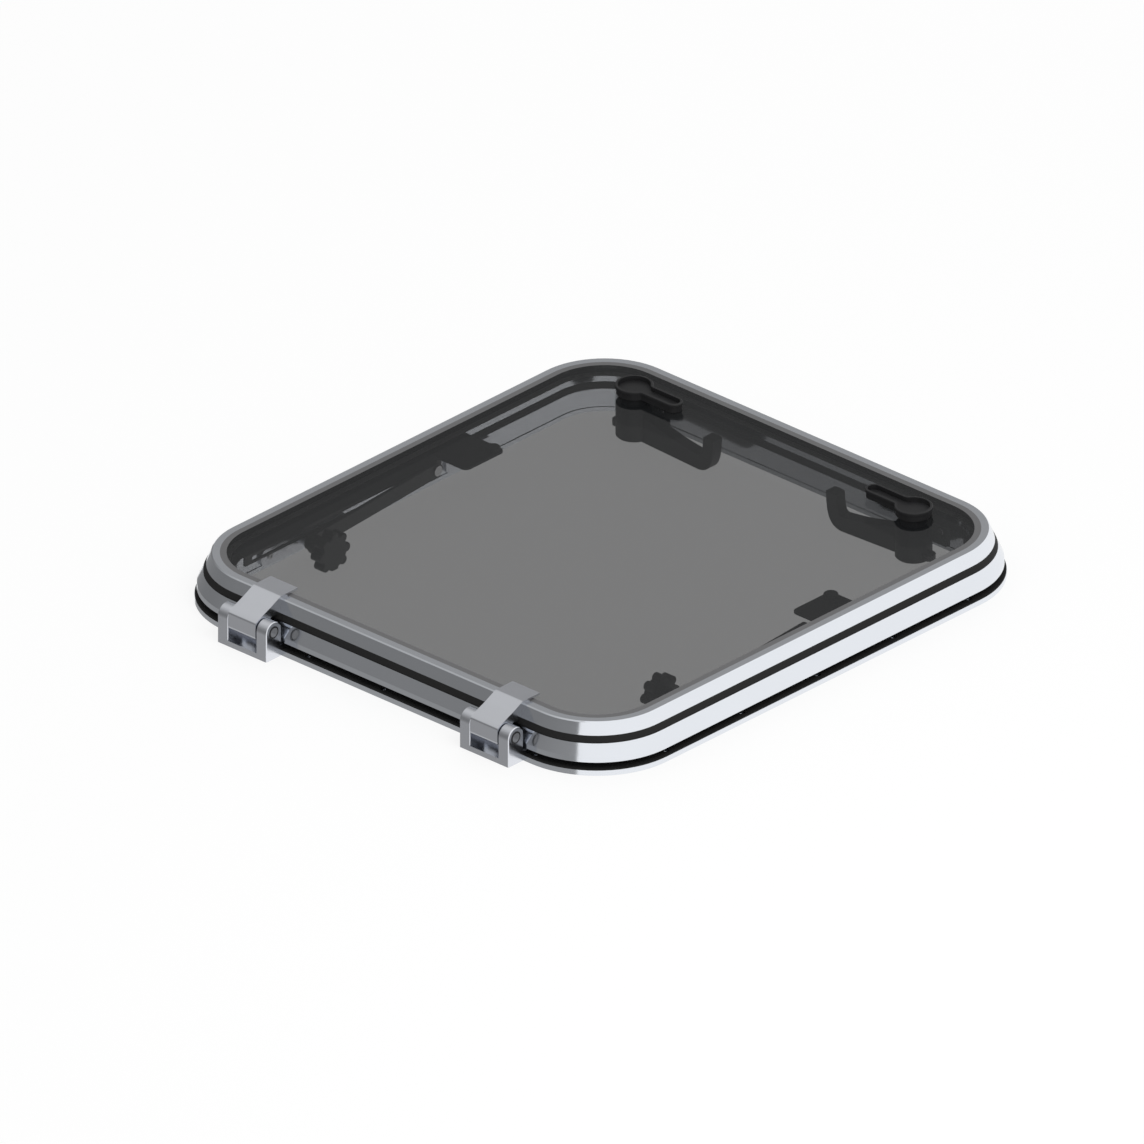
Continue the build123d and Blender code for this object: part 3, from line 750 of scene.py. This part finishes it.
@dataclass(frozen=True)
class LeverShape:
    """Inner handle's curved lever: a sagging top edge, a thick raised tip and a round toe."""

    width: float = 12.0 * MM
    root_top: float = 34.0 * MM
    root_low: float = 4.5 * MM
    waist_reach: float = 82.0 * MM
    waist_top: float = 17.0 * MM
    waist_sag: float = 7.0 * MM
    waist_ease: float = 4.0 * MM
    tip_inner: float = 90.0 * MM
    tip_reach: float = 103.0 * MM
    tip_top: float = 36.0 * MM
    tip_crown: float = 37.2 * MM
    tip_ease: float = 1.0 * MM
    tip_rise: float = 6.0 * MM
    toe_reach: float = 84.0 * MM
    toe_low: float = 1.2 * MM
    toe_ease: float = 2.0 * MM
    edge_round: float = 2.0 * MM
    round_steps: int = 3
    curve_steps: int = 14
    unrounded_root: float = 2.0 * MM
    hub_radius: float = 17.0 * MM
    hub_top: float = 37.5 * MM
    hub_edge: float = 1.0 * MM
    hub_steps: int = 72
    spindle_bore: float = 8.05 * MM
    spindle_floor: float = 20.45 * MM
    cap_bore: float = 5.45 * MM
    cap_ceiling: float = 7.55 * MM
    slot_start: float = 9.5 * MM
    slot_width: float = 12.1 * MM
    slot_low: float = 8.15 * MM
    slot_high: float = 13.75 * MM

    def _outline(self) -> list[Vector]:
        """Side view of the lever, from the hub to the tip and back.

        Returns:
            Points as reach and height.
        """
        middle = self.waist_reach / 2
        level = (self.root_top + self.waist_top) / 2 - self.waist_sag / 2
        root = (0.0, self.root_top)
        waist = (self.waist_reach, self.waist_top)
        inner_tip = (self.tip_inner, self.tip_top)
        outer_tip = (self.tip_reach, self.tip_top)
        toe = (self.toe_reach, self.toe_low)
        curves = (
            (root, (middle, level + self.waist_ease), (middle, level), waist),
            (
                waist,
                (self.tip_inner - self.tip_ease, self.waist_top - self.tip_ease),
                (self.tip_inner - self.tip_ease, self.waist_top + self.tip_rise),
                inner_tip,
            ),
            (
                inner_tip,
                (self.tip_inner + self.tip_ease, self.tip_crown),
                (self.tip_reach - self.tip_ease, self.tip_crown),
                outer_tip,
            ),
            (
                outer_tip,
                (self.tip_reach - self.tip_ease, self.waist_top),
                (self.tip_reach - self.toe_ease, self.toe_low + self.tip_ease),
                toe,
            ),
        )
        points: list[Vector] = []
        for curve in curves:
            knots = [Vector((reach, 0.0, height)) for reach, height in curve]
            points.extend(interpolate_bezier(*knots, self.curve_steps)[:-1])
        points.append(Vector((self.toe_reach, 0.0, self.toe_low)))
        points.append(Vector((0.0, 0.0, self.root_low)))
        return points

    def _lever(self, centre: Vector, sign: int) -> bpy.types.Object:
        """Make the lever with rounded long edges, pointing to the middle of the hatch.

        Args:
            centre: The spindle's centre, at deck height.
            sign: The side's sign.

        Returns:
            The object.
        """
        sheet = bmesh.new()
        shift = Vector((centre.x, centre.y - self.width / 2, 0.0))
        corners = [
            sheet.verts.new(Vector((-sign * point.x, 0.0, point.z)) + shift) for point in self._outline()
        ]
        face = sheet.faces.new(corners)
        grown = bmesh.ops.extrude_face_region(sheet, geom=[face])["geom"]
        moved = [item for item in grown if isinstance(item, bmesh.types.BMVert)]
        bmesh.ops.translate(sheet, vec=Vector((0.0, self.width, 0.0)), verts=moved)
        rims = []
        for edge in sheet.edges:
            first, last = (vert.co for vert in edge.verts)
            along = abs(first.y - last.y) < self.width / 2
            if along and max(abs(first.x - centre.x), abs(last.x - centre.x)) > self.unrounded_root:
                rims.append(edge)
        bmesh.ops.bevel(
            sheet,
            geom=rims,
            offset=self.edge_round,
            segments=self.round_steps,
            profile=0.5,
            material=-1,
            affect="EDGES",
            clamp_overlap=True,
        )
        return piece_from("lever", sheet)

    def _hub(self, centre: Vector) -> bpy.types.Object:
        """Make the round hub with its bores for the spindle and the cap.

        Args:
            centre: The spindle's centre, at deck height.

        Returns:
            The object.
        """
        profile = (
            (0.0, self.cap_ceiling),
            (self.cap_bore, self.cap_ceiling),
            (self.cap_bore, self.root_low),
            (self.hub_radius - self.hub_edge, self.root_low),
            (self.hub_radius, self.root_low + self.hub_edge),
            (self.hub_radius, self.hub_top),
            (self.spindle_bore, self.hub_top),
            (self.spindle_bore, self.spindle_floor),
            (0.0, self.spindle_floor),
        )
        sheet = bmesh.new()
        points = [sheet.verts.new((radius, 0.0, height)) for radius, height in profile]
        edges = [sheet.edges.new(pair) for pair in zip(points, points[1:])]
        bmesh.ops.spin(
            sheet,
            geom=points + edges,
            cent=Vector((0.0, 0.0, 0.0)),
            axis=Vector((0.0, 0.0, 1.0)),
            angle=2 * math.pi,
            steps=self.hub_steps,
            use_merge=True,
        )
        bmesh.ops.remove_doubles(sheet, verts=sheet.verts, dist=MERGE_DISTANCE)
        bmesh.ops.translate(sheet, vec=centre, verts=sheet.verts)
        return piece_from("hub", sheet)

    def build(self, side: Side) -> bpy.types.Object:
        """Make one side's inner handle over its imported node.

        Args:
            side: The side.

        Returns:
            The object.
        """
        low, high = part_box(side.node("handle_spindle"))
        centre = Vector(((low[0] + high[0]) / 2, (low[1] + high[1]) / 2, 0.0))
        handle = self._hub(centre)
        handle.name = side.node("curved_inner_handle")
        combine(handle, self._lever(centre, side.sign), "UNION")
        sheet = bmesh.new()
        size = Vector((2 * self.hub_radius, self.slot_width, self.slot_high - self.slot_low))
        reach = side.sign * (self.slot_start + self.hub_radius)
        place = centre + Vector((reach, 0.0, (self.slot_high + self.slot_low) / 2))
        block = Matrix.Translation(place) @ Matrix.Diagonal((*size, 1.0))
        bmesh.ops.create_cube(sheet, size=1.0, matrix=block)
        combine(handle, piece_from("cam_slot", sheet), "DIFFERENCE")
        return handle


@dataclass(frozen=True)
class Handle:
    """One turning handle with its cam and keeper."""

    side: Side
    lever: LeverShape = LeverShape()

    def dress(self, rack: FinishRack) -> None:
        """Give the handle its plastics and metals, and its lever its curved shape.

        Args:
            rack: The finishes.
        """
        for name in ("outer_handle", "handle_cap", "handle_bush", "latch_keeper"):
            rack.dress(self.side.node(name), BLACK_PLASTIC)
        handle = self.lever.build(self.side)
        rack.coat(handle, BLACK_PLASTIC)
        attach(handle, self.side.node("handle"))
        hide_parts(self.side.node("inner_handle"))
        rack.dress(self.side.node("handle_spindle"), STEEL)
        rack.dress(self.side.node("latch_cam"), BLACK_METAL)


@dataclass(frozen=True)
class Stay:
    """One friction stay: bracket, arm, knob, track and stop."""

    side: Side

    def dress(self, rack: FinishRack) -> None:
        """Give the stay its metals and plastics.

        Args:
            rack: The finishes.
        """
        for name in ("stay_arm", "stay_track"):
            rack.dress(self.side.node(name), BLACK_METAL)
        for name in ("stay_bracket", "side_plate"):
            rack.dress(self.side.node(name), SATIN_METAL)
        for name in ("stay_stud", "slide_pin"):
            rack.dress(self.side.node(name), STEEL)
        rack.dress(self.side.node("stay_knob"), KNOB_PLASTIC)
        for name in ("arm_washer", "track_stop", "stop_button"):
            rack.dress(self.side.node(name), BLACK_PLASTIC)


@dataclass(frozen=True)
class Lamp:
    """Soft square lamp that points at the hatch and isn't seen in its metal."""

    name: str
    place: tuple[float, float, float]
    power: float
    size: float

    def hang(self) -> None:
        """Add the lamp to the scene."""
        data = bpy.data.lights.new(self.name, "AREA")
        data.energy = self.power
        data.size = self.size
        lamp = bpy.data.objects.new(self.name, data)
        bpy.context.scene.collection.objects.link(lamp)
        lamp.location = self.place
        lamp.rotation_euler = (-Vector(self.place)).to_track_quat("-Z", "Y").to_euler()
        lamp.visible_glossy = False


@dataclass(frozen=True)
class Studio:
    """Pale floor, soft light and the camera at the photograph's angle."""

    azimuth: float = 42.99
    elevation: float = 27.77
    view_width: float = 1.0303
    aim_height: float = 0.047
    shift_right: float = -0.02575
    shift_up: float = -0.02898
    camera_distance: float = 4.0
    camera_clip: float = 20.0
    floor_size: float = 12.0
    floor_drop: float = 0.0004
    floor_shade: float = 0.9
    floor_glow: float = 0.8
    ambient: float = 0.78
    bright_side: float = 0.92
    dark_side: float = 0.18
    dark_lift: float = 0.6
    bright_azimuth: float = 19.3
    low_bright_azimuth: float = 58.0
    bright_depth: float = 1.5
    lamps: tuple[Lamp, ...] = (
        Lamp("key", place=(1.6, -0.6, 2.4), power=26.0, size=1.6),
        Lamp("fill", place=(-1.5, 1.8, 2.2), power=12.0, size=2.2),
    )

    def build(self) -> None:
        """Make the floor, the world, the lamps and the camera."""
        self._floor()
        self._world()
        for lamp in self.lamps:
            lamp.hang()
        self._camera()
        bpy.context.scene.view_settings.view_transform = "Standard"

    def _floor(self) -> None:
        """White floor that glows for the camera and keeps a soft shadow."""
        grid = bmesh.new()
        bmesh.ops.create_grid(grid, x_segments=1, y_segments=1, size=self.floor_size / 2)
        bmesh.ops.translate(grid, vec=Vector((0.0, 0.0, -self.floor_drop)), verts=grid.verts)
        floor = piece_from("floor", grid)
        material = bpy.data.materials.new("floor_white")
        material.use_nodes = True
        sheet = NodeSheet(material.node_tree)
        shader = sheet.tree.nodes["Principled BSDF"]
        shade = self.floor_shade
        shader.inputs["Base Color"].default_value = (shade, shade, shade, 1.0)
        shader.inputs["Roughness"].default_value = 1.0
        shader.inputs["Specular IOR Level"].default_value = 0.0
        path = sheet.add("ShaderNodeLightPath")
        seen = sheet.math("MAXIMUM", path.outputs["Is Camera Ray"], path.outputs["Is Glossy Ray"])
        seen = sheet.math("MAXIMUM", seen, path.outputs["Is Transmission Ray"])
        glow = sheet.add("ShaderNodeEmission")
        mix = sheet.add("ShaderNodeMixShader")
        share = sheet.math("MULTIPLY", seen, self.floor_glow)
        sheet.link(share, mix.inputs["Fac"])
        sheet.link(shader.outputs["BSDF"], mix.inputs[1])
        sheet.link(glow.outputs["Emission"], mix.inputs[2])
        output = sheet.tree.nodes["Material Output"]
        sheet.link(mix.outputs["Shader"], output.inputs["Surface"])
        floor.data.materials.append(material)
        floor.visible_glossy = False

    def _side(self, sheet: NodeSheet, split: bpy.types.Node, azimuth: float) -> bpy.types.NodeSocket:
        """Mark the half of the surroundings around an azimuth.

        Args:
            sheet: The world's sheet.
            split: Node that gives the direction's components.
            azimuth: Middle of the half, in degrees.

        Returns:
            A socket that is 1 in that half and 0 in the other.
        """
        turn = math.radians(azimuth)
        across = sheet.math("MULTIPLY", split.outputs["X"], math.cos(turn))
        along = sheet.math("MULTIPLY", split.outputs["Y"], math.sin(turn))
        return sheet.math("GREATER_THAN", sheet.math("ADD", across, along), 0.0)

    def _world(self) -> None:
        """White for the camera, a plain level for light, and two sides for reflections.

        One side is bright in the first reflection and dark in all later ones.
        """
        world = bpy.data.worlds.new("studio")
        bpy.context.scene.world = world
        world.use_nodes = True
        sheet = NodeSheet(world.node_tree)
        sheet.tree.nodes.clear()
        coords = sheet.add("ShaderNodeTexCoord")
        split = sheet.add("ShaderNodeSeparateXYZ")
        sheet.link(coords.outputs["Generated"], split.inputs["Vector"])
        below = sheet.math("LESS_THAN", split.outputs["Z"], 0.0)
        low_side = sheet.math("MULTIPLY", self._side(sheet, split, self.low_bright_azimuth), below)
        bright = sheet.math("MAXIMUM", self._side(sheet, split, self.bright_azimuth), low_side)
        path = sheet.add("ShaderNodeLightPath")
        early = sheet.math("LESS_THAN", path.outputs["Glossy Depth"], self.bright_depth)
        bright = sheet.math("MULTIPLY", bright, early)
        rise = sheet.math("MULTIPLY", split.outputs["Z"], split.outputs["Z"])
        dark = sheet.math("ADD", sheet.math("MULTIPLY", rise, self.dark_lift), self.dark_side)
        swing = sheet.math("MULTIPLY", bright, sheet.math("SUBTRACT", self.bright_side, dark))
        level = sheet.math("ADD", swing, dark)
        glossy = sheet.add("ShaderNodeBackground")
        sheet.link(level, glossy.inputs["Strength"])
        plain = sheet.add("ShaderNodeBackground", Strength=self.ambient)
        white = sheet.add("ShaderNodeBackground", Strength=1.0)
        for background in (glossy, plain, white):
            background.inputs["Color"].default_value = (1.0, 1.0, 1.0, 1.0)
        lighting = sheet.add("ShaderNodeMixShader")
        sheet.link(path.outputs["Is Glossy Ray"], lighting.inputs["Fac"])
        sheet.link(plain.outputs["Background"], lighting.inputs[1])
        sheet.link(glossy.outputs["Background"], lighting.inputs[2])
        view = sheet.add("ShaderNodeMixShader")
        sheet.link(path.outputs["Is Camera Ray"], view.inputs["Fac"])
        sheet.link(lighting.outputs["Shader"], view.inputs[1])
        sheet.link(white.outputs["Background"], view.inputs[2])
        output = sheet.add("ShaderNodeOutputWorld")
        sheet.link(view.outputs["Shader"], output.inputs["Surface"])

    def _camera(self) -> None:
        """Camera with no perspective, turned and framed as the photograph is."""
        turn, tilt = math.radians(self.azimuth), math.radians(self.elevation)
        right = Vector((math.cos(turn), math.sin(turn), 0.0))
        up = Vector((-math.sin(turn) * math.sin(tilt), math.cos(turn) * math.sin(tilt), math.cos(tilt)))
        back = right.cross(up)
        data = bpy.data.cameras.new("camera")
        data.type = "ORTHO"
        data.ortho_scale = self.view_width
        data.clip_end = self.camera_clip
        camera = bpy.data.objects.new("camera", data)
        bpy.context.scene.collection.objects.link(camera)
        aim = Vector((0.0, 0.0, self.aim_height)) + right * self.shift_right + up * self.shift_up
        camera.location = aim + back * self.camera_distance
        camera.rotation_euler = back.to_track_quat("Z", "Y").to_euler()
        bpy.context.scene.camera = camera


@dataclass(frozen=True)
class DeckHatch:
    """The whole hatch, dressed sub-assembly by sub-assembly."""

    metalwork: Metalwork = Metalwork()
    glazing: Glazing = Glazing()
    trims: tuple[SealLipAndGapShadow | GrooveStrip, ...] = (SealLipAndGapShadow(), GrooveStrip())
    hinges: tuple[Hinge, ...] = tuple(Hinge(side) for side in Side)
    handles: tuple[Handle, ...] = tuple(Handle(side) for side in Side)
    stays: tuple[Stay, ...] = tuple(Stay(side) for side in Side)

    def dress(self, rack: FinishRack) -> None:
        """Dress every part.

        Args:
            rack: The finishes.
        """
        self.metalwork.dress(rack)
        self.glazing.dress(rack)
        for part in (*self.trims, *self.hinges, *self.handles, *self.stays):
            part.dress(rack)


def main() -> None:
    """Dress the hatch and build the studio."""
    logging.basicConfig(level=logging.INFO)
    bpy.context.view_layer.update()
    rack = FinishRack(EffectLibrary())
    DeckHatch().dress(rack)
    Studio().build()


if __name__ == "__main__":
    main()
